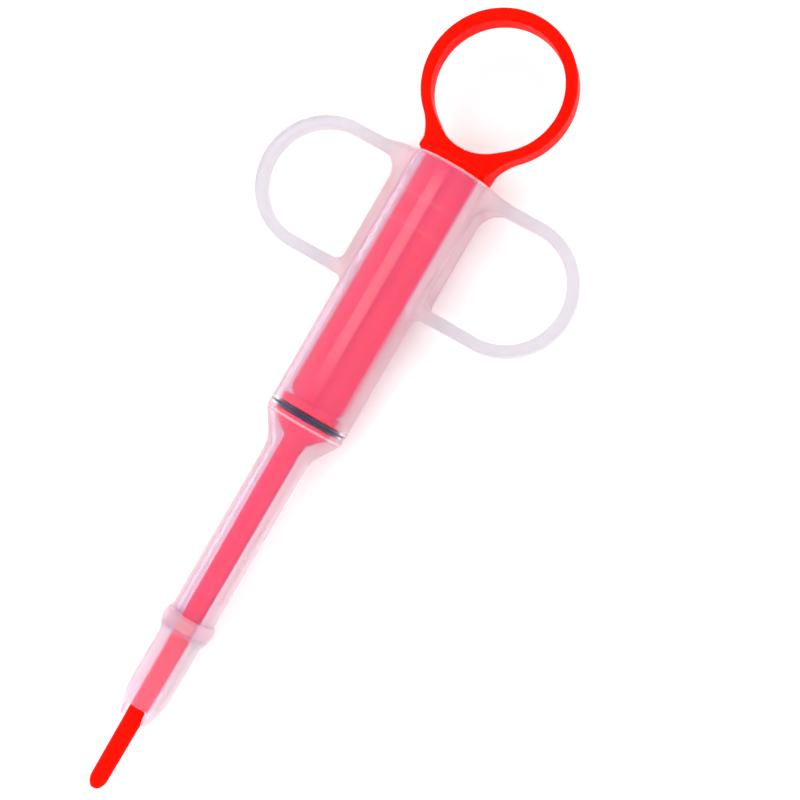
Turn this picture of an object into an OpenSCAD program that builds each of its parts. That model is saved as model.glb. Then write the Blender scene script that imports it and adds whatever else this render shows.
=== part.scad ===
// Ring-handled dosing syringe: barrel with two finger loops and a long nose,
// ring-handled plunger with push rod, O-ring seal and a soft split tip.
// Frame: origin on the barrel axis, midway along the plain cylinder ahead of the finger loops.
// +X runs along the axis towards the tip, +Y across the finger loops, +Z square to the loop plane.
// Lengths along the barrel below are counted from the rear rim.

/* [Barrel] */
// Outer diameter of the barrel tube between the finger loops
barrel_d = 16.2; // [16.2:0.1:17]
// Outer diameter of the plain length ahead of the loops
plain_d = 16.1; // [15.8:0.1:16.1]
// Bore of the barrel tube
bore_d = 13.6; // [13.6:0.1:14]
// Length from the rear rim to the start of the shoulder
tube_l = 56.3; // [56.3:0.1:58]
// Slope of the shoulder from the axis, degrees
shoulder_deg = 33; // [30:1:38]
// Outer diameter of the nose
nose_d = 9.0; // [8.8:0.1:9.4]
// Bore of the nose
nose_bore_d = 6.2; // [6:0.1:6.4]
// Length from the rear rim to the end of the nose
nose_end = 101.8; // [100:0.1:104]

/* [Finger loops] */
// Outer diameter of the round end of each loop
loop_d = 27.2; // [26:0.2:28]
// Thickness of the loop band, seen square to the loop
loop_band = 2.4; // [1.8:0.1:2.8]
// Distance from the axis to the outer edge of a loop
loop_reach = 34.2; // [32:0.1:38]
// Distance from the rear rim to the loop's outer edge
loop_set = 0.9; // [0.5:0.1:2]
// Depth of the band at the outer end
loop_depth = 3.7; // [3:0.1:5]
// Depth of the web where the loop joins the barrel
web_depth = 8.0; // [6:0.2:9]
// Distance from the axis to the straight side of the finger hole
web_y = 9.2; // [9:0.1:10]

/* [Plunger] */
// Outer diameter of the thumb ring
ring_d = 30.0; // [29:0.2:32]
// Width of the thumb hole
hole_d = 25.6; // [24:0.2:26]
// Depth of the thumb ring
ring_depth = 5.7; // [4.5:0.1:7]
// Diameter of the stop disc
disc_d = 14.3; // [14.3:0.1:15]
// Thickness of the stop disc
disc_t = 1.1; // [0.9:0.1:1.6]
// Width across the stem's ribs
stem_w = 12.0; // [10:0.1:12.6]
// Thickness of a rib
rib_t = 2.2; // [1.6:0.1:2.6]
// Diameter of the seal flanges
flange_d = 13.0; // [12.6:0.1:13.2]
// Diameter of the push rod at its root
rod_root_d = 4.68; // [4.4:0.02:4.8]
// Diameter of the push rod near its end
rod_tip_d = 3.5; // [3:0.1:3.6]
// Distance from the rear rim to the end of the push rod
rod_end = 135.9; // [130:0.1:140]

/* [Seal] */
// Section diameter of the O-ring
o_d = 1.55; // [1.4:0.01:1.56]
// Radial gap between the O-ring and the walls of its seat
o_gap = 0.025; // [0.02:0.005:0.05]

/* [Soft tip] */
// Outer diameter of the sleeve
sleeve_d = 8.56; // [8.2:0.02:8.8]
// Bore of the sleeve
sleeve_bore_d = 6.26; // [6.1:0.02:6.4]
// Diameter over the collar's ridge
collar_d = 10.7; // [10.4:0.1:11.4]
// Overlap of the sleeve on the nose
grip_l = 3.5; // [2.5:0.1:5]
// Radial gap of the push fit on the nose
grip_gap = 0.03; // [0.02:0.01:0.08]
// Length of the sleeve ahead of the nose
sleeve_l = 19.1; // [17:0.1:21]
// Depth of the notch between the two jaws
notch_l = 3.1; // [2.5:0.1:4]
// Width of the notch
notch_w = 4.4; // [4:0.1:5]

/* [Hidden] */
$fn = 96;
x_org = 43;                       // origin, counted from the rear rim
e = 0.01;
br = barrel_d / 2;
pr = plain_d / 2;
ir = bore_d / 2;
nr = nose_d / 2;
nir = nose_bore_d / 2;
sl = tan(shoulder_deg);
sh_x = tube_l + (pr - nr) / sl;   // sharp corner of shoulder and nose
f1 = 1.0;                         // rounding at the shoulder's rear corner
f2 = 6.0;                         // blend of the shoulder into the nose
wall = pr - ir;
in_x0 = tube_l - wall * tan(shoulder_deg / 2);
in_x1 = in_x0 + (ir - nir) / sl;

lr = loop_d / 2;                  // loop end, outer radius
hr = lr - loop_band;              // loop end, inner radius
lx = loop_set + lr;               // middle of the loop along the axis
ly = loop_reach - lr;             // centre of the loop's round end
c_up = 4.4;                       // hole corner nearest the rim
c_lo = 1.6;                       // hole corner nearest the nose
w_end = 15;                       // where the web has tapered to the band's depth
arm_f = 1.2;                      // fillet of the lower arm on the barrel
plain_x = loop_set + loop_d + arm_f + 0.1;   // where the plain length starts

gap0 = 0.05;                      // stop disc above the rim
rr = ring_d / 2;
ring_x = -(2.87 + rr);            // centre of the thumb ring
h1 = hole_d / 2;
h1x = ring_x + 0.35;              // centre of the hole's wide end
h2 = h1 - 3.0;                    // radius of the hole's narrow end
h2x = ring_x + 4.1;
neck_r = 10.9;                    // concave side of the neck
neck_y = disc_d / 2 - 0.05 + neck_r;
neck_x = ring_x + sqrt(pow(rr + neck_r, 2) - pow(neck_y, 2));
neck_tx = ring_x + rr / (rr + neck_r) * (neck_x - ring_x);
neck_ty = rr / (rr + neck_r) * neck_y;
stem_c = 2.4;                     // rounding of the ribs' front corners
fl_x0 = 52.2;                     // rear face of the rear flange
o_x = 54.6;                       // middle of the O-ring
fl_r = flange_d / 2;
o_c = ir - o_gap - o_d / 2;       // centre-line radius of the O-ring
g_r = o_c - o_d / 2 - o_gap;      // floor of its groove
g_h = o_d / 2 + 0.025;            // half width of its groove
fl_x1 = 56.0;                     // front edge of the front flange
cone_x = 59.4;                    // where the cone meets the rod
rod_x = rod_end - 2.7;            // start of the rod's rounded end
rt = rod_tip_d / 2;

sr = sleeve_d / 2;
sir = sleeve_bore_d / 2;
st_x0 = nose_end - grip_l;
st_x1 = nose_end + sleeve_l;
seat = 0.05;                      // gap between the nose's end and the step in the sleeve

// Arc points in the (radius, x) plane.
function arc(cr, cx, r, a0, a1, n) = [for (i = [0:n]) let (a = a0 + (a1 - a0) * i / n) [cr + r * cos(a), cx + r * sin(a)]];

// Turns a (radius, x) profile round the X axis.
module turned(pts) translate([-x_org, 0, 0]) rotate([0, 90, 0]) rotate_extrude() polygon(pts);

// Extrudes an (x, y) outline through the loop plane.
module plate(depth) translate([-x_org, 0, -depth / 2]) linear_extrude(height = depth) children();

module barrel_outer() {
    a = shoulder_deg;
    t1 = f1 * tan(a / 2);
    t2 = f2 * tan(a / 2);
    turned(concat(
        [[0, 0], [br - 0.25, 0], [br, 0.25], [br, plain_x - 0.7], [pr, plain_x]],
        arc(pr - f1, tube_l - t1, f1, 0, a, 4),
        arc(nr + f2, sh_x + t2, f2, 180 + a, 180, 6),
        [[nr, nose_end - 0.3], [nr - 0.3, nose_end], [0, nose_end]]));
}

module barrel_inner() turned([
    [0, -1], [ir + 0.2, -1], [ir + 0.2, 0], [ir, 0.3], [ir, in_x0], [nir, in_x1],
    [nir, nose_end + 1], [0, nose_end + 1]]);

// Finger hole outline: straight side by the barrel, round outer end.
module finger_hole() {
    x0 = lx - hr;
    x1 = lx + hr;
    translate([lx, ly]) circle(r = hr);
    translate([x0, web_y + c_up]) square([x1 - x0, ly - web_y - c_up]);
    translate([x0 + c_up, web_y]) square([x1 - x0 - c_up - c_lo, c_up + e]);
    translate([x0 + c_up, web_y + c_up]) circle(r = c_up);
    translate([x1 - c_lo, web_y + c_lo]) circle(r = c_lo);
    translate([x1 - c_lo - e, web_y + c_lo]) square([c_lo + e, c_up - c_lo + e]);
}

// One loop with its web, on the +Y side.
module loop() {
    intersection() {
        plate(web_depth) difference() {
            union() {
                translate([lx, ly]) circle(r = lr);
                translate([loop_set, 0]) square([2 * lr, ly]);
                polygon([[0.3, 0], [0.3, br], [loop_set + e, br + 6], [loop_set + e, 0]]);
                difference() {
                    translate([loop_set + 2 * lr - e, 0]) square([arm_f + e, br + arm_f]);
                    translate([loop_set + 2 * lr + arm_f, br + arm_f]) circle(r = arm_f);
                }
            }
            finger_hole();
        }
        translate([-x_org - 5, 0, 0]) rotate([90, 0, 90]) linear_extrude(height = 50)
            polygon([[-1, -web_depth / 2], [web_y, -web_depth / 2], [w_end, -loop_depth / 2], [loop_reach + 1, -loop_depth / 2],
                     [loop_reach + 1, loop_depth / 2], [w_end, loop_depth / 2], [web_y, web_depth / 2], [-1, web_depth / 2]]);
    }
}

module barrel() color([0.93, 0.90, 0.94, 0.5]) difference() {
    union() {
        barrel_outer();
        loop();
        mirror([0, 1, 0]) loop();
    }
    barrel_inner();
}

// Egg-shaped thumb hole: two circles and their common tangents.
module thumb_hole() {
    a = acos((h1 - h2) / (h2x - h1x));
    k = 0.02;                     // the sides sit this far inside the true tangents
    p = (h1 - k) * [cos(a), sin(a)];
    q = (h2 - k) * [cos(a), sin(a)];
    translate([h1x, 0]) circle(r = h1);
    translate([h2x, 0]) circle(r = h2);
    polygon([[h1x + p[0], p[1]], [h2x + q[0], q[1]], [h2x + q[0], -q[1]], [h1x + p[0], -p[1]]]);
}

module ring() plate(ring_depth) difference() {
    union() {
        translate([ring_x, 0]) circle(r = rr);
        difference() {
            translate([neck_tx, -neck_ty]) square([-gap0 - disc_t / 2 - neck_tx, 2 * neck_ty]);
            for (s = [-1, 1]) translate([neck_x, s * neck_y]) circle(r = neck_r);
        }
    }
    thumb_hole();
}

module rib() {
    w = stem_w / 2;
    plate(rib_t) {
        translate([-gap0 - e, -w]) square([fl_x0 - stem_c + gap0 + e, 2 * w]);
        translate([-gap0 - e, -w + stem_c]) square([fl_x0 + gap0 + 0.2, 2 * (w - stem_c)]);
        for (s = [-1, 1]) translate([fl_x0 - stem_c, s * (w - stem_c)]) circle(r = stem_c);
    }
}

module head() turned(concat(
    [[0, fl_x0], [fl_r - 0.5, fl_x0], [fl_r, fl_x0 + 0.5], [fl_r, o_x - g_h - 0.15], [fl_r - 0.15, o_x - g_h],
     [g_r, o_x - g_h], [g_r, o_x + g_h], [fl_r - 0.15, o_x + g_h], [fl_r, o_x + g_h + 0.15], [fl_r, fl_x1 - 0.15],
     [6.2, 56.15], [5.5, 56.85], [4.4, 57.9], [3.0, 59.0], [rod_root_d / 2, cone_x], [rt, rod_x],
     [rt - 0.14, rod_x + 1.0], [rt - 0.5, rod_x + 1.9], [rt - 1.0, rod_x + 2.45], [0.35, rod_end], [0, rod_end]]));

module plunger() color([0.95, 0.07, 0.03]) {
    ring();
    turned([[0, -gap0 - disc_t], [disc_d / 2 - 0.2, -gap0 - disc_t], [disc_d / 2, -gap0 - disc_t + 0.2],
            [disc_d / 2, -gap0 - 0.15], [disc_d / 2 - 0.15, -gap0], [0, -gap0]]);
    rib();
    rotate([90, 0, 0]) rib();
    head();
}

module o_ring() color([0.08, 0.08, 0.12])
    translate([o_x - x_org, 0, 0]) rotate([0, 90, 0]) rotate_extrude() translate([o_c, 0]) circle(d = o_d, $fn = 48);

module soft_tip() color([0.95, 0.93, 0.96, 0.45]) difference() {
    turned([[nr + grip_gap, st_x0], [nr + 0.2, st_x0], [collar_d / 2, st_x0 + 1.6], [collar_d / 2 - 0.4, st_x0 + 3.3], [sr, st_x0 + 4.7],
            [sr, st_x1 - 5.6], [sr - 0.2, st_x1 - 4.6], [sr - 0.53, st_x1 - 3.6], [sr - 0.78, st_x1 - 1.9], [sr - 1.33, st_x1 - 0.7], [sr - 1.8, st_x1],
            [sr - 2.05, st_x1], [sir - 0.8, st_x1 - 1.4], [sir, st_x1 - 5.4], [sir, nose_end + seat],
            [nr + grip_gap, nose_end + seat]]);
    plate(20) translate([st_x1 - notch_l, -notch_w / 2]) square([notch_l + 10, notch_w]);
}

barrel();
plunger();
o_ring();
soft_tip();
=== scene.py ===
import math

import bpy
import numpy as np
from mathutils import Matrix, Vector


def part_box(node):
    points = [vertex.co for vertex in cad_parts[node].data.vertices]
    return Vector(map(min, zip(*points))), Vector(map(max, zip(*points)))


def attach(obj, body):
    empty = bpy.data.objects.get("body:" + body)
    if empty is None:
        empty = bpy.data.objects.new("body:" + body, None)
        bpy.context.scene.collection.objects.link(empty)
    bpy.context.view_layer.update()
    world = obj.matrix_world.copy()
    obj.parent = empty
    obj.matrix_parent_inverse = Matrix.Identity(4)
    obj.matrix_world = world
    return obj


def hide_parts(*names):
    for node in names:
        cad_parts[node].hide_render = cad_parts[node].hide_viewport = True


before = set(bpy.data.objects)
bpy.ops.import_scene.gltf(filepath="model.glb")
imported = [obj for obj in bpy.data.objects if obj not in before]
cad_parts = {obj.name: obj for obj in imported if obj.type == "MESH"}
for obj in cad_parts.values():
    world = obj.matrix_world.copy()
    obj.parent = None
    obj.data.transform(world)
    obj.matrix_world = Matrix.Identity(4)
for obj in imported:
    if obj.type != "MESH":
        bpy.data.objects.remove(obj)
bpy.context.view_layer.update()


MM = 0.001
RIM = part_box("barrel")[0][0] * 1000.0          # rear rim of the barrel on the X axis, mm
NOSE_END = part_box("barrel")[1][0] * 1000.0 - RIM
ROD_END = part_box("plunger")[1][0] * 1000.0 - RIM
RING_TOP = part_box("plunger")[0][0] * 1000.0 - RIM
SLEEVE_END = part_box("soft_tip")[1][0] * 1000.0 - RIM
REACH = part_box("barrel")[1][1] * 1000.0

# ---------------------------------------------------------------- distance fields
# Every shape below is a signed distance in millimetres. x counts from the rear rim to the tip.


def smin(a, b, k):
    h = np.maximum(k - np.abs(a - b), 0.0) / k
    return np.minimum(a, b) - h * h * k * 0.25


def smax(a, b, k):
    return -smin(-a, -b, k)


def smoothstep(t):
    t = np.clip(t, 0.0, 1.0)
    return t * t * (3.0 - 2.0 * t)


def slab(d2, dz, rho):
    """A flat outline d2 given a thickness, its edges rounded by rho."""
    qx, qz = d2 + rho, dz + rho
    out = np.sqrt(np.maximum(qx, 0.0) ** 2 + np.maximum(qz, 0.0) ** 2)
    return out + np.minimum(np.maximum(qx, qz), 0.0) - rho


def filleted(pts, n=7):
    """A closed outline with each corner (a, b, radius) rounded."""
    out = []
    m = len(pts)
    for i in range(m):
        p = np.array(pts[i][:2], float)
        rad = pts[i][2] if len(pts[i]) > 2 else 0.0
        if rad <= 0.0:
            out.append(p)
            continue
        a = np.array(pts[i - 1][:2], float) - p
        b = np.array(pts[(i + 1) % m][:2], float) - p
        la, lb = np.linalg.norm(a), np.linalg.norm(b)
        a, b = a / la, b / lb
        half = math.acos(max(-1.0, min(1.0, float(a @ b)))) / 2.0
        if half > math.pi / 2 - 1e-3:
            out.append(p)
            continue
        back = min(rad / math.tan(half), 0.48 * la, 0.48 * lb)
        rad = back * math.tan(half)
        mid = (a + b) / np.linalg.norm(a + b)
        c = p + mid * (rad / math.sin(half))
        s, e = p + a * back - c, p + b * back - c
        a0 = math.atan2(s[1], s[0])
        sweep = (math.atan2(e[1], e[0]) - a0 + math.pi) % (2 * math.pi) - math.pi
        k = max(2, int(round(n * abs(sweep) / (math.pi / 2))) + 1)
        for j in range(k + 1):
            t = a0 + sweep * j / k
            out.append(c + rad * np.array([math.cos(t), math.sin(t)]))
    return np.array(out)


def outline_distance(a, b, poly):
    d = np.full(np.broadcast(a, b).shape, 1e12)
    inside = np.zeros(d.shape, bool)
    m = len(poly)
    for i in range(m):
        v, w = poly[i], poly[(i + 1) % m]
        ea, eb = w[0] - v[0], w[1] - v[1]
        ll = ea * ea + eb * eb
        if ll < 1e-14:
            continue
        wa, wb = a - v[0], b - v[1]
        t = np.clip((wa * ea + wb * eb) / ll, 0.0, 1.0)
        d = np.minimum(d, (wa - ea * t) ** 2 + (wb - eb * t) ** 2)
        crosses = (v[1] > b) != (w[1] > b)
        if abs(eb) > 1e-12:
            inside ^= crosses & (a < v[0] + ea * (b - v[1]) / eb)
    d = np.sqrt(d)
    return np.where(inside, -d, d)


class Turned:
    """A (radius, x) outline turned round the X axis, read from a fine table of distances."""

    STEP = 0.05

    def __init__(self, pts):
        poly = filleted(pts)
        axis = poly[:, 0] < 1e-9
        if axis.any():
            # a mirrored copy below the axis keeps the middle from counting as a wall
            keep = poly[~axis]
            other = keep[::-1].copy()
            other[:, 0] *= -1
            poly = np.vstack([keep, other])
        self.x0 = float(poly[:, 1].min()) - 2.5
        nx = int((float(poly[:, 1].max()) + 2.5 - self.x0) / self.STEP) + 2
        nr = int((float(poly[:, 0].max()) + 2.5) / self.STEP) + 2
        rs = self.STEP * np.arange(nr)
        xs = self.x0 + self.STEP * np.arange(nx)
        self.table = outline_distance(rs[None, :], xs[:, None], poly)
        self.nr, self.nx = nr, nx

    def __call__(self, x, y, z):
        r = np.sqrt(y * y + z * z)
        u = (x - self.x0) / self.STEP
        v = r / self.STEP
        # outside the table the distance goes on growing by about the way to its edge
        cu, cv = np.clip(u, 0, self.nx - 1.001), np.clip(v, 0, self.nr - 1.001)
        past = (np.abs(u - cu) + np.maximum(v - cv, 0.0)) * self.STEP
        i, j = cu.astype(np.int32), cv.astype(np.int32)
        fu, fv = cu - i, cv - j
        t = self.table
        a = t[i, j] * (1 - fv) + t[i, j + 1] * fv
        b = t[i + 1, j] * (1 - fv) + t[i + 1, j + 1] * fv
        return a * (1 - fu) + b * fu + past


def grow(field, lo, hi, h, relax=2):
    """A closed quad mesh on the field's zero surface: one point in each cell that the surface crosses, moved onto it, with the field's own normals."""
    n = [int(math.ceil((hi[i] - lo[i]) / h)) + 1 for i in range(3)]
    ax = [lo[i] + h * np.arange(n[i]) for i in range(3)]
    vals = np.empty(n, np.float32)
    step = 96
    for i in range(0, n[0], step):
        j = min(n[0], i + step)
        xs = ax[0][i:j]
        if len(xs) == 1:
            xs = np.append(xs, xs[0] + h)
            vals[i:j] = field(xs.reshape(-1, 1, 1), ax[1].reshape(1, -1, 1), ax[2].reshape(1, 1, -1))[:1]
        else:
            vals[i:j] = field(xs.reshape(-1, 1, 1), ax[1].reshape(1, -1, 1), ax[2].reshape(1, 1, -1))
    s = vals < 0
    count = np.zeros([m - 1 for m in n], np.uint8)
    for a in (0, 1):
        for b in (0, 1):
            for c in (0, 1):
                count += s[a:n[0] - 1 + a, b:n[1] - 1 + b, c:n[2] - 1 + c]
    live = (count > 0) & (count < 8)
    index = np.full(live.shape, -1, np.int64)
    cells = np.argwhere(live)
    index[live] = np.arange(len(cells))
    ci, cj, ck = cells.T
    corner = {}
    for a in (0, 1):
        for b in (0, 1):
            for c in (0, 1):
                corner[a, b, c] = vals[ci + a, cj + b, ck + c].astype(float)
    total = np.zeros((len(cells), 3))
    hits = np.zeros(len(cells))
    for p in corner:
        for d in range(3):
            if p[d]:
                continue
            q = list(p)
            q[d] = 1
            u, v = corner[p], corner[tuple(q)]
            cut = (u < 0) != (v < 0)
            t = np.where(cut, u / np.where(cut, u - v, 1.0), 0.0)
            at = np.array(p, float)[None, :].repeat(len(cells), 0)
            at[:, d] = t
            total += at * cut[:, None]
            hits += cut
    pts = np.array(lo) + h * (cells + total / hits[:, None])
    quads = []
    for d in range(3):
        u, v = [k for k in range(3) if k != d]
        sl0 = [slice(None)] * 3
        sl1 = [slice(None)] * 3
        sl0[d] = slice(0, n[d] - 1)
        sl1[d] = slice(1, n[d])
        a, b = s[tuple(sl0)], s[tuple(sl1)]
        e = np.argwhere(a != b)
        e = e[(e[:, u] > 0) & (e[:, u] < n[u] - 1) & (e[:, v] > 0) & (e[:, v] < n[v] - 1)]
        du = np.zeros(3, int)
        dv = np.zeros(3, int)
        du[u], dv[v] = 1, 1
        q = np.stack([index[tuple((e - du - dv).T)], index[tuple((e - dv).T)], index[tuple(e.T)], index[tuple((e - du).T)]], 1)
        out = a[tuple(e.T)]
        if d == 1:
            out = ~out
        q[~out] = q[~out][:, ::-1]
        quads.append(q)
    quads = np.vstack(quads)
    quads = quads[(quads >= 0).all(1)]

    def slope(p, eps=0.05):
        g = np.zeros_like(p)
        for k in ((1, -1, -1), (-1, -1, 1), (-1, 1, -1), (1, 1, 1)):
            k = np.array(k, float)
            q = p + eps * k
            g += field(q[:, 0], q[:, 1], q[:, 2])[:, None] * k
        return g / (4 * eps)

    def settle(p, times):
        for _ in range(times):
            g = slope(p)
            f = field(p[:, 0], p[:, 1], p[:, 2])
            m = f[:, None] * g / np.maximum((g * g).sum(1), 0.05)[:, None]
            far = np.linalg.norm(m, axis=1)
            m *= np.minimum(1.0, 0.6 * h / np.maximum(far, 1e-9))[:, None]
            p = p - m
        return p

    pts = settle(pts, 2)
    edges = np.vstack([quads[:, [0, 1]], quads[:, [1, 2]], quads[:, [2, 3]], quads[:, [3, 0]]])
    for _ in range(relax):
        acc = np.zeros_like(pts)
        num = np.bincount(edges.ravel(), minlength=len(pts)).astype(float)
        for d in range(3):
            acc[:, d] = np.bincount(edges[:, 0], pts[edges[:, 1], d], len(pts)) + np.bincount(edges[:, 1], pts[edges[:, 0], d], len(pts))
        pts = pts + 0.6 * (acc / np.maximum(num, 1)[:, None] - pts)
        pts = settle(pts, 1)
    pts = settle(pts, 1)
    g = slope(pts, 0.06)
    nrm = g / np.maximum(np.linalg.norm(g, axis=1), 1e-9)[:, None]
    return pts, quads, nrm


def make_object(name, pts, faces, nrm=None):
    me = bpy.data.meshes.new(name)
    co = (np.asarray(pts) + np.array([RIM, 0.0, 0.0])) * MM
    me.from_pydata(co.tolist(), [], np.asarray(faces).tolist() if isinstance(faces, np.ndarray) else faces)
    me.update()
    me.polygons.foreach_set("use_smooth", np.ones(len(me.polygons), bool))
    if nrm is not None:
        me.normals_split_custom_set_from_vertices(np.asarray(nrm).tolist())
    ob = bpy.data.objects.new(name, me)
    bpy.context.scene.collection.objects.link(ob)
    return ob


# ---------------------------------------------------------------- barrel
TUBE_R, BORE_R, NOSE_R, NOSE_BORE = 8.08, 6.8, 4.5, 3.1
SHOULDER_X, NOSE_X = 56.3, 61.77
barrel_outside = Turned([
    (0, 0), (8.1, 0, 0.35), (8.1, 18), (8.05, 34), (8.05, SHOULDER_X, 1.0), (NOSE_R, NOSE_X, 6.0),
    (NOSE_R, NOSE_END, 0.35), (0, NOSE_END)])
barrel_inside = Turned([
    (0, -6), (BORE_R, -6), (BORE_R, 55.93, 0.25), (NOSE_BORE, 61.63, 1.2), (NOSE_BORE, NOSE_END + 5), (0, NOSE_END + 5)])
LOOP_R, HOLE_R = 13.6, 11.2
LOOP_X, LOOP_Y = 14.5, REACH - 13.6


def loop_outline(x, y):
    """One finger loop seen square on: round outer end, straight side by the barrel."""
    top = 0.9 - 0.6 * smoothstep((14.1 - y) / 6.0)
    side = np.maximum(top - x, x - (LOOP_X + LOOP_R))
    ring = np.sqrt((x - LOOP_X) ** 2 + (y - LOOP_Y) ** 2)
    outer = np.where(y > LOOP_Y, ring - LOOP_R, side)
    c = np.where(x < LOOP_X, 4.4, 1.6)
    qx, qy = np.abs(x - LOOP_X) - HOLE_R + c, 9.2 - y + c
    low = np.minimum(np.maximum(qx, qy), 0.0) + np.sqrt(np.maximum(qx, 0.0) ** 2 + np.maximum(qy, 0.0) ** 2) - c
    hole = np.where(y > LOOP_Y, ring - HOLE_R, low)
    return np.maximum(outer, -hole)


def barrel_field(x, y, z):
    ay = np.abs(y)
    depth = 1.85 + 2.15 * (1.0 - smoothstep((ay - 8.6) / 7.0))
    d2 = np.maximum(loop_outline(x, ay), 3.0 - ay)
    loops = slab(d2, np.abs(z) - depth, 0.85)
    solid = smin(barrel_outside(x, y, z), loops, 1.6)
    d = smax(solid, -barrel_inside(x, y, z), 0.3)
    # two low beads round the bore near the rim keep the seal from sliding out
    r = np.sqrt(y * y + z * z)
    for bx in (8.5, 14.05):
        d = smin(d, np.sqrt((r - 7.05) ** 2 + (x - bx) ** 2) - 0.37, 0.12)
    # the rim stays flat where the webs run into it, for the plunger's disc to rest on
    return smax(d, 0.02 - x, 0.3)


# ---------------------------------------------------------------- plunger
RING_R = 15.0
RING_X = RING_TOP + RING_R
NECK_R = 10.9
NECK_Y = 7.1 + NECK_R
NECK_X = RING_X + math.sqrt((RING_R + NECK_R) ** 2 - NECK_Y ** 2)
NECK_TX = RING_X + RING_R / (RING_R + NECK_R) * (NECK_X - RING_X)
NECK_TY = RING_R / (RING_R + NECK_R) * NECK_Y
disc = Turned([(0, -1.15), (7.15, -1.15, 0.35), (7.15, -0.05, 0.3), (0, -0.05)])
rod_end = [(1.75 * math.sqrt(max(0.0, 1.0 - (i / 14.0) ** 2)), ROD_END - 2.7 + 2.7 * i / 14.0) for i in range(14)]
head = Turned(
    [(0, 52.2), (6.5, 52.2, 0.55), (6.5, 53.87, 0.18), (5.2, 53.87, 0.15), (5.2, 55.33, 0.15), (6.5, 55.33, 0.18),
     (6.5, 55.9, 0.35), (4.4, 57.95, 2.0), (2.34, 59.4, 0.8)] + rod_end + [(0.0, ROD_END)])


def egg_hole(x, y):
    """Two circles and their common tangents."""
    r1, r2, h = 12.8, 9.8, 3.75
    px, py = np.abs(y), x - (RING_X + 0.35)
    b = (r1 - r2) / h
    a = math.sqrt(1 - b * b)
    k = -b * px + a * py
    side = a * px + b * py - r1
    return np.where(k < 0, np.sqrt(px * px + py * py) - r1, np.where(k > a * h, np.sqrt(px * px + (py - h) ** 2) - r2, side))


def ring_outline(x, y):
    ay = np.abs(y)
    disk = np.sqrt((x - RING_X) ** 2 + y * y) - RING_R
    box = np.maximum(np.maximum(NECK_TX - x, x + 0.6), ay - NECK_TY)
    neck = np.maximum(box, NECK_R - np.sqrt((x - NECK_X) ** 2 + (ay - NECK_Y) ** 2))
    return np.maximum(np.minimum(disk, neck), -egg_hole(x, y))


def rib(x, u, v):
    """One flat rib of the stem: u across it, v through its thickness."""
    au = np.abs(u)
    c = np.where(x > 25, 2.4, 0.0)
    qx, qu = np.abs(x - 25.8) - 26.4 + c, au - 6.0 + c
    d2 = np.minimum(np.maximum(qx, qu), 0.0) + np.sqrt(np.maximum(qx, 0.0) ** 2 + np.maximum(qu, 0.0) ** 2) - c
    return slab(d2, np.abs(v) - 1.1, 0.22)


def plunger_field(x, y, z):
    flare = 1.5 * smoothstep((x + 3.2) / 2.6)
    ring = slab(ring_outline(x, y), np.abs(z) - 2.85 - flare, 0.8)
    d = smin(ring, disc(x, y, z), 0.9)
    stem = smin(rib(x, y, z), rib(x, z, y), 0.9)
    d = smin(d, stem, 0.5)
    return smin(d, head(x, y, z), 0.4)


# ---------------------------------------------------------------- soft tip
tip_wall = Turned([
    (4.53, 98.3, 0.12), (4.95, 98.3, 0.16), (5.35, 99.9, 0.25), (4.95, 101.6, 0.6), (4.28, 103.0, 0.8), (4.28, 115.3, 1.5),
    (3.76, 117.2, 1.2), (3.52, 119.0, 1.2), (3.0, 120.2, 0.8), (2.72, SLEEVE_END, 0.2), (2.22, SLEEVE_END, 0.2), (2.33, 119.5, 1.0),
    (3.13, 115.5, 1.5), (3.13, 101.85, 0.15), (4.53, 101.85, 0.12)])
NOTCH_X = SLEEVE_END - 3.1


def tip_field(x, y, z):
    q0, q1 = NOTCH_X - x + 0.5, np.abs(y) - 1.7
    cut = np.minimum(np.maximum(q0, q1), 0.0) + np.sqrt(np.maximum(q0, 0.0) ** 2 + np.maximum(q1, 0.0) ** 2) - 0.5
    return smax(tip_wall(x, y, z), -cut, 0.25)


def turned_mesh(profile, segs):
    """A closed lathe mesh from a closed (radius, x) outline."""
    m = len(profile)
    ang = np.arange(segs) * 2 * math.pi / segs
    pts = np.array([[x, r * math.cos(t), r * math.sin(t)] for t in ang for r, x in profile])
    faces = []
    for i in range(segs):
        j = (i + 1) % segs
        for k in range(m):
            l = (k + 1) % m
            faces.append((i * m + k, i * m + l, j * m + l, j * m + k))
    return pts, faces


H = 0.25
pts, quads, nrm = grow(barrel_field, (-1.06, -REACH - 1.03, -9.17), (NOSE_END + 1.0, REACH + 1.0, 9.1), H, 2)
barrel = make_object("barrel_body", pts, quads, nrm)
pts, quads, nrm = grow(plunger_field, (RING_TOP - 1.04, -16.09, -8.93), (ROD_END + 1.0, 16.0, 8.9), H, 2)
plunger = make_object("plunger_body", pts, quads, nrm)
pts, quads, nrm = grow(tip_field, (97.46, -6.23, -6.17), (SLEEVE_END + 0.8, 6.2, 6.2), 0.125, 2)
tip = make_object("soft_tip_sleeve", pts, quads, nrm)

# O-ring: a round section, pressed a little flat where it bears on the bore and on the groove's floor
o_prof = []
for i in range(40):
    t = 2 * math.pi * i / 40
    rr, xx = 0.82 * math.cos(t), 0.70 * math.sin(t)
    rr = max(-0.775, min(0.805, rr))
    o_prof.append((6.01 + rr, 54.6 + xx))
pts, faces = turned_mesh(o_prof[::-1], 160)
oring = make_object("seal_ring", pts, faces)

# ---------------------------------------------------------------- materials


def new_material(name):
    mat = bpy.data.materials.new(name)
    mat.use_nodes = True
    nt = mat.node_tree
    bsdf = nt.nodes["Principled BSDF"]
    return mat, nt, bsdf


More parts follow.
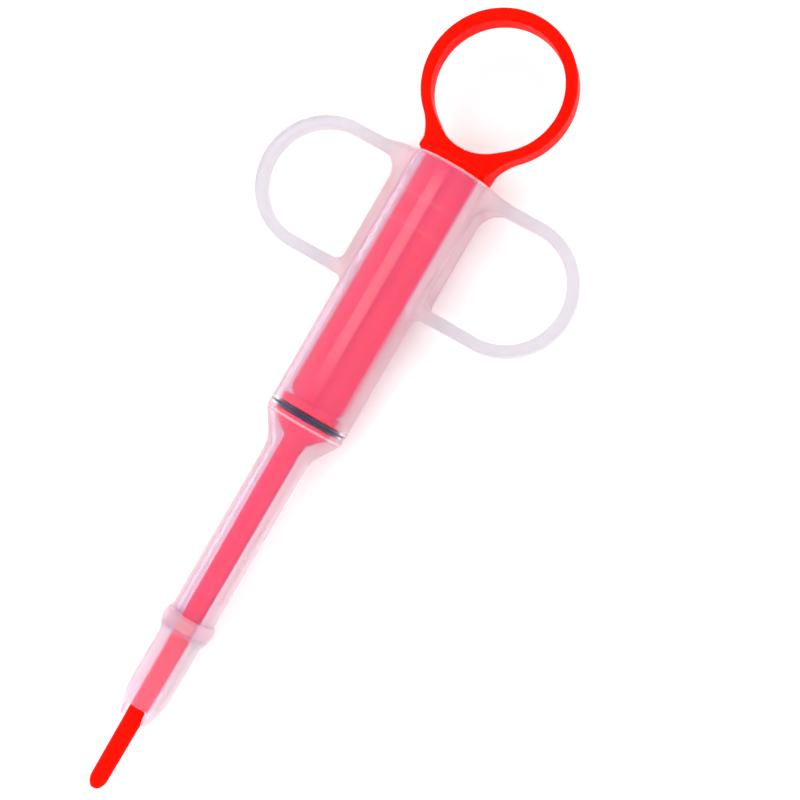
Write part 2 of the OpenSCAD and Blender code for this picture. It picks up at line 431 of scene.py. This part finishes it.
def noise(nt, scale, detail=3.0, rough=0.5, stretch=(1, 1, 1)):
    tc = nt.nodes.new("ShaderNodeTexCoord")
    mp = nt.nodes.new("ShaderNodeMapping")
    mp.inputs["Scale"].default_value = stretch
    nz = nt.nodes.new("ShaderNodeTexNoise")
    nz.inputs["Scale"].default_value = scale
    nz.inputs["Detail"].default_value = detail
    nz.inputs["Roughness"].default_value = rough
    nt.links.new(tc.outputs["Object"], mp.inputs["Vector"])
    nt.links.new(mp.outputs["Vector"], nz.inputs["Vector"])
    return nz


def ramp(nt, src, lo, hi, c0, c1):
    r = nt.nodes.new("ShaderNodeValToRGB")
    r.color_ramp.elements[0].position = lo
    r.color_ramp.elements[1].position = hi
    r.color_ramp.elements[0].color = (*c0, 1)
    r.color_ramp.elements[1].color = (*c1, 1)
    nt.links.new(src, r.inputs["Fac"])
    return r


def between(nt, src, lo, hi, a, b):
    m = nt.nodes.new("ShaderNodeMapRange")
    m.inputs["From Min"].default_value = lo
    m.inputs["From Max"].default_value = hi
    m.inputs["To Min"].default_value = a
    m.inputs["To Max"].default_value = b
    nt.links.new(src, m.inputs["Value"])
    return m


def bumped(nt, bsdf, src, dist, strength=1.0):
    b = nt.nodes.new("ShaderNodeBump")
    b.inputs["Strength"].default_value = strength
    b.inputs["Distance"].default_value = dist
    nt.links.new(src, b.inputs["Height"])
    nt.links.new(b.outputs["Normal"], bsdf.inputs["Normal"])
    return b


def mul(nt, a, b):
    m = nt.nodes.new("ShaderNodeMath")
    m.operation = "MULTIPLY"
    nt.links.new(a, m.inputs[0])
    nt.links.new(b, m.inputs[1])
    return m.outputs[0]


def red_plastic():
    mat, nt, bsdf = new_material("red_moulded_pp")
    cloud = noise(nt, 90.0, 4.0)
    col = ramp(nt, cloud.outputs["Fac"], 0.35, 0.65, (0.90, 0.0035, 0.0003), (0.95, 0.0050, 0.0006))
    # painted highlight: the ribs' outer edges along the stem are painted a paler red
    tc = nt.nodes.new("ShaderNodeTexCoord")
    sep = nt.nodes.new("ShaderNodeSeparateXYZ")
    nt.links.new(tc.outputs["Object"], sep.inputs["Vector"])
    flat = nt.nodes.new("ShaderNodeVectorMath")
    flat.operation = "MULTIPLY"
    flat.inputs[1].default_value = (0, 1, 1)
    nt.links.new(tc.outputs["Object"], flat.inputs[0])
    far = nt.nodes.new("ShaderNodeVectorMath")
    far.operation = "LENGTH"
    nt.links.new(flat.outputs["Vector"], far.inputs[0])
    edge = between(nt, far.outputs["Value"], 5.6 * MM, 6.0 * MM, 0.0, 1.0)
    start = between(nt, sep.outputs["X"], (RIM + 0.3) * MM, (RIM + 6.0) * MM, 0.0, 1.0)
    stop = between(nt, sep.outputs["X"], (RIM + 38.0) * MM, (RIM + 51.0) * MM, 1.0, 0.0)
    where = mul(nt, mul(nt, edge.outputs["Result"], start.outputs["Result"]), stop.outputs["Result"])
    rib_highlight_paint = nt.nodes.new("ShaderNodeMix")
    rib_highlight_paint.data_type = "RGBA"
    rib_highlight_paint.inputs["B"].default_value = (0.95, 0.12, 0.09, 1)
    nt.links.new(where, rib_highlight_paint.inputs["Factor"])
    nt.links.new(col.outputs["Color"], rib_highlight_paint.inputs["A"])
    nt.links.new(rib_highlight_paint.outputs["Result"], bsdf.inputs["Base Color"])
    fine = noise(nt, 700.0, 3.0)
    rg = between(nt, fine.outputs["Fac"], 0.3, 0.7, 0.34, 0.44)
    nt.links.new(rg.outputs["Result"], bsdf.inputs["Roughness"])
    wave = noise(nt, 160.0, 2.0)
    bumped(nt, bsdf, wave.outputs["Fac"], 0.00003, 0.5)
    bsdf.inputs["IOR"].default_value = 1.49
    bsdf.inputs["Specular IOR Level"].default_value = 0.02
    return mat


def stops(nt, src, pairs):
    """A colour ramp with any number of (position, colour) stops."""
    r = nt.nodes.new("ShaderNodeValToRGB")
    els = r.color_ramp.elements
    for i, (at, c) in enumerate(pairs):
        e = els[i] if i < 2 else els.new(at)
        e.position = at
        e.color = (*c, 1)
    nt.links.new(src, r.inputs["Fac"])
    return r


def milky_plastic(name, zones, narrow, bands, r0, r1, wave_d):
    """Clear plastic with fine white scatter in it: a refracting shader mixed with a lit, light-passing one.
    zones: (mm from the middle plane, what it lets through, colour of the scatter, share of the scatter); the pink in
    these colours is painted red light from the plunger inside.
    narrow: (x0, x1, times) where the part tapers and the zones crowd in.
    bands: (x0, x1, share, tint, mm from the middle plane) rings round the tube with more scatter, or less, in their own
    tint: the lighter rings are painted highlight lines and light lines, and a ring with less scatter lets a seat show
    clearer."""
    mat, nt, bsdf = new_material(name)
    bsdf.inputs["IOR"].default_value = 1.2
    bsdf.inputs["Transmission Weight"].default_value = 1.0
    bsdf.inputs["Coat Weight"].default_value = 0.12
    bsdf.inputs["Coat Roughness"].default_value = 0.2
    bsdf.inputs["Sheen Weight"].default_value = 0.5
    bsdf.inputs["Sheen Roughness"].default_value = 0.5
    # painted light: the sheen's pink tint stands in for red light from the plunger inside
    bsdf.inputs["Sheen Tint"].default_value = (0.80, 0.58, 0.64, 1)
    tc = nt.nodes.new("ShaderNodeTexCoord")
    sep = nt.nodes.new("ShaderNodeSeparateXYZ")
    nt.links.new(tc.outputs["Object"], sep.inputs["Vector"])
    off = nt.nodes.new("ShaderNodeMath")
    off.operation = "ABSOLUTE"
    nt.links.new(sep.outputs["Y"], off.inputs[0])
    crowd = between(nt, sep.outputs["X"], (RIM + narrow[0]) * MM, (RIM + narrow[1]) * MM, 1.0, narrow[2])
    out = mul(nt, off.outputs[0], crowd.outputs["Result"])
    reach = between(nt, out, 0.0, 16.0 * MM, 0.0, 1.0)
    pale = stops(nt, reach.outputs["Result"], [(q[0] / 16.0, q[1]) for q in zones])
    nt.links.new(pale.outputs["Color"], bsdf.inputs["Base Color"])
    fine = noise(nt, 420.0, 4.0, 0.6)
    rg = between(nt, fine.outputs["Fac"], 0.3, 0.7, r0, r1)
    nt.links.new(rg.outputs["Result"], bsdf.inputs["Roughness"])
    wave = noise(nt, 120.0, 2.0, 0.5, (0.35, 1, 1))
    bumped(nt, bsdf, wave.outputs["Fac"], wave_d, 0.5)
    col = stops(nt, reach.outputs["Result"], [(q[0] / 16.0, q[2]) for q in zones]).outputs["Color"]
    # the scatter is a little uneven
    cloud = noise(nt, 60.0, 4.0, 0.55)
    uneven = between(nt, cloud.outputs["Fac"], 0.3, 0.7, 0.9, 1.1)
    depth = stops(nt, reach.outputs["Result"], [(q[0] / 16.0, (q[3],) * 3) for q in zones])
    share = mul(nt, uneven.outputs["Result"], depth.outputs["Color"])
    for x0, x1, more, tint, width in bands:
        soft = 0.12
        body = between(nt, off.outputs[0], (width - 0.1) * MM, (width + 0.1) * MM, 1.0, 0.0)
        rise = between(nt, sep.outputs["X"], (RIM + x0 - soft) * MM, (RIM + x0 + soft) * MM, 0.0, 1.0)
        fall = between(nt, sep.outputs["X"], (RIM + x1 - soft) * MM, (RIM + x1 + soft) * MM, 1.0, 0.0)
        here = mul(nt, mul(nt, rise.outputs["Result"], fall.outputs["Result"]), body.outputs["Result"])
        added = nt.nodes.new("ShaderNodeMath")
        added.operation = "MULTIPLY_ADD"
        nt.links.new(here, added.inputs[0])
        added.inputs[1].default_value = more
        nt.links.new(share, added.inputs[2])
        share = added.outputs[0]
        tinted = nt.nodes.new("ShaderNodeMix")
        tinted.data_type = "RGBA"
        tinted.inputs["B"].default_value = (*tint, 1)
        nt.links.new(here, tinted.inputs["Factor"])
        nt.links.new(col, tinted.inputs["A"])
        col = tinted.outputs["Result"]
    lit = nt.nodes.new("ShaderNodeBsdfDiffuse")
    through = nt.nodes.new("ShaderNodeBsdfTranslucent")
    nt.links.new(col, lit.inputs["Color"])
    nt.links.new(col, through.inputs["Color"])
    both = nt.nodes.new("ShaderNodeMixShader")
    both.inputs["Fac"].default_value = 0.5
    nt.links.new(lit.outputs["BSDF"], both.inputs[1])
    nt.links.new(through.outputs["BSDF"], both.inputs[2])
    mix = nt.nodes.new("ShaderNodeMixShader")
    nt.links.new(share, mix.inputs["Fac"])
    nt.links.new(bsdf.outputs["BSDF"], mix.inputs[1])
    nt.links.new(both.outputs["Shader"], mix.inputs[2])
    nt.links.new(mix.outputs["Shader"], nt.nodes["Material Output"].inputs["Surface"])
    return mat


def rubber():
    mat, nt, bsdf = new_material("oiled_nitrile_rubber")
    cloud = noise(nt, 300.0, 3.0)
    col = ramp(nt, cloud.outputs["Fac"], 0.35, 0.65, (0.014, 0.003, 0.045), (0.022, 0.005, 0.062))
    nt.links.new(col.outputs["Color"], bsdf.inputs["Base Color"])
    fine = noise(nt, 1500.0, 3.0)
    rg = between(nt, fine.outputs["Fac"], 0.3, 0.7, 0.30, 0.46)
    nt.links.new(rg.outputs["Result"], bsdf.inputs["Roughness"])
    bumped(nt, bsdf, fine.outputs["Fac"], 0.00003, 0.5)
    bsdf.inputs["IOR"].default_value = 1.5
    bsdf.inputs["Specular IOR Level"].default_value = 0.2
    return mat


def dress(ob, mat, node, body):
    ob.data.materials.clear()
    ob.data.materials.append(mat)
    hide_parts(node)
    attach(ob, body)


red = red_plastic()
clear_pp = milky_plastic(
    "milky_pp", [
        # painted light: the pink and magenta in the scatter colours, and the pink in what the walls let through, stand
        # in for red light from the plunger inside
        (6.25, (0.98, 0.95, 0.97), (0.74, 0.36, 0.94), 0.095),
        (6.95, (0.90, 0.84, 0.87), (0.80, 0.63, 0.67), 0.50),
        (9.0, (0.88, 0.84, 0.87), (0.85, 0.69, 0.73), 0.50),
        (12.5, (0.66, 0.66, 0.68), (0.73, 0.69, 0.75), 0.45)],
    (56.5, 61.8, 2.2),
    # painted highlights: the light pink rings at the rim and at the shoulder's inner edge, and the two thin rings at
    # the tip's collar; the wider collar ring is partly the milkier double layer and partly painted light; the two rings
    # over the beads paint lighter lines; the ring over the seal scatters less and lets it show darker
    [(-0.2, 0.6, 0.22, (1.0, 0.80, 0.86), 8.3), (8.35, 8.65, 0.048, (1.0, 0.72, 0.84), 6.2), (13.9, 14.2, 0.048, (1.0, 0.72, 0.84), 6.2),
     (53.7, 55.2, -0.42, (0.74, 0.36, 0.94), 8.3), (56.0, 56.4, 0.32, (1.0, 0.78, 0.84), 8.3), (99.3, 101.2, 0.09, (1.0, 0.74, 0.86), 8.3),
     (99.25, 99.5, 0.2, (1.0, 0.90, 0.95), 8.3), (100.9, 101.15, 0.16, (1.0, 0.88, 0.94), 8.3)], 0.195, 0.215, 0.000002)
silicone = milky_plastic(
    "frosted_silicone", [
        # painted light: the magenta scatter over the rod and the pink tint at the collar stand in for red light from
        # the plunger
        (2.9, (0.97, 0.95, 0.97), (0.88, 0.52, 0.84), 0.13),
        (3.6, (0.84, 0.83, 0.85), (0.68, 0.67, 0.70), 0.45),
        (4.6, (0.84, 0.83, 0.85), (0.75, 0.73, 0.76), 0.50)],
    (98.0, 99.0, 1.0), [(98.1, 101.0, 0.0, (0.95, 0.76, 0.86), 8.3)], 0.29, 0.38, 0.00001)
dress(barrel, clear_pp, "barrel", "barrel")
dress(plunger, red, "plunger", "plunger")
dress(oring, rubber(), "o_ring", "seal")
dress(tip, silicone, "soft_tip", "tip")

# ---------------------------------------------------------------- floor, light, camera
X, Y, Z = Vector((1, 0, 0)), Vector((0, 1, 0)), Vector((0, 0, 1))
FLOOR_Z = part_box("barrel")[0][2] - 0.0004

fme = bpy.data.meshes.new("floor")
s = 3.0
fme.from_pydata([(-s, -s, FLOOR_Z), (s, -s, FLOOR_Z), (s, s, FLOOR_Z), (-s, s, FLOOR_Z)], [], [(0, 1, 2, 3)])
floor = bpy.data.objects.new("floor", fme)
bpy.context.scene.collection.objects.link(floor)
fmat, fnt, fb = new_material("pale_floor")
fb.inputs["Base Color"].default_value = (0.95, 0.95, 0.95, 1)
fb.inputs["Roughness"].default_value = 0.8
fb.inputs["Specular IOR Level"].default_value = 0.1
fme.materials.append(fmat)

world = bpy.data.worlds.new("studio")
bpy.context.scene.world = world
world.use_nodes = True
wnt = world.node_tree
wtc = wnt.nodes.new("ShaderNodeTexCoord")
wsep = wnt.nodes.new("ShaderNodeSeparateXYZ")
wnt.links.new(wtc.outputs["Generated"], wsep.inputs["Vector"])
wr = wnt.nodes.new("ShaderNodeValToRGB")
wnt.links.new(wsep.outputs["Z"], wr.inputs["Fac"])
# a soft bright band all round, dim straight overhead
els = wr.color_ramp.elements
els[0].position, els[0].color = 0.0, (0.5, 0.5, 0.5, 1)
els[1].position, els[1].color = 1.0, (0.6, 0.6, 0.6, 1)
for at, v in ((0.30, 0.45), (0.52, 1.0), (0.86, 1.0), (0.94, 0.65)):
    e = els.new(at)
    e.color = (v, v, v, 1)
wnt.links.new(wr.outputs["Color"], wnt.nodes["Background"].inputs["Color"])
side = between(wnt, wsep.outputs["Y"], -1.0, 1.0, 1.92, 1.94)
wnt.links.new(side.outputs["Result"], wnt.nodes["Background"].inputs["Strength"])


def lamp(name, at, size, power, color=(1, 1, 1), aim=(0.01, 0, 0)):
    li = bpy.data.lights.new(name, "AREA")
    li.shape = "RECTANGLE"
    li.size, li.size_y = size
    li.energy = power
    li.color = color
    ob = bpy.data.objects.new(name, li)
    ob.location = at
    ob.rotation_euler = (Vector(aim) - Vector(at)).to_track_quat("-Z", "Y").to_euler()
    bpy.context.scene.collection.objects.link(ob)
    return ob


lamp("key", (-0.10, -0.85, 0.60), (0.9, 0.6), 0.6)

phi, psi, th = 0.227753, 0.526808, -0.000575
a = -X
p3 = math.cos(phi) * Y - math.sin(phi) * Z
b = math.cos(phi) * Z + math.sin(phi) * Y
a2 = math.cos(th) * a - math.sin(th) * b
b2 = math.sin(th) * a + math.cos(th) * b
right = math.sin(psi) * a2 + math.cos(psi) * p3
up = math.cos(psi) * a2 - math.sin(psi) * p3
place = (0.1337 * X + 13.352 * p3 + 323.837 * b) * MM
cam = bpy.data.cameras.new("camera")
cam.sensor_width = 36.0
cam.lens = 76.75
cam.clip_start = 0.01
camera = bpy.data.objects.new("camera", cam)
m = Matrix.Identity(4)
for i in range(3):
    m[i][0], m[i][1], m[i][2], m[i][3] = right[i], up[i], b2[i], place[i]
camera.matrix_world = m
bpy.context.scene.collection.objects.link(camera)
bpy.context.scene.camera = camera

scene = bpy.context.scene
scene.view_settings.view_transform = "Standard"
scene.view_settings.look = "None"
scene.view_settings.exposure = 0.0
scene.cycles.use_denoising = True
scene.cycles.denoising_prefilter = "ACCURATE"
scene.cycles.denoising_input_passes = "RGB_ALBEDO"
scene.cycles.max_bounces = 24
scene.cycles.transmission_bounces = 20
scene.cycles.glossy_bounces = 8
scene.cycles.diffuse_bounces = 8
scene.cycles.caustics_refractive = True
scene.cycles.caustics_reflective = True
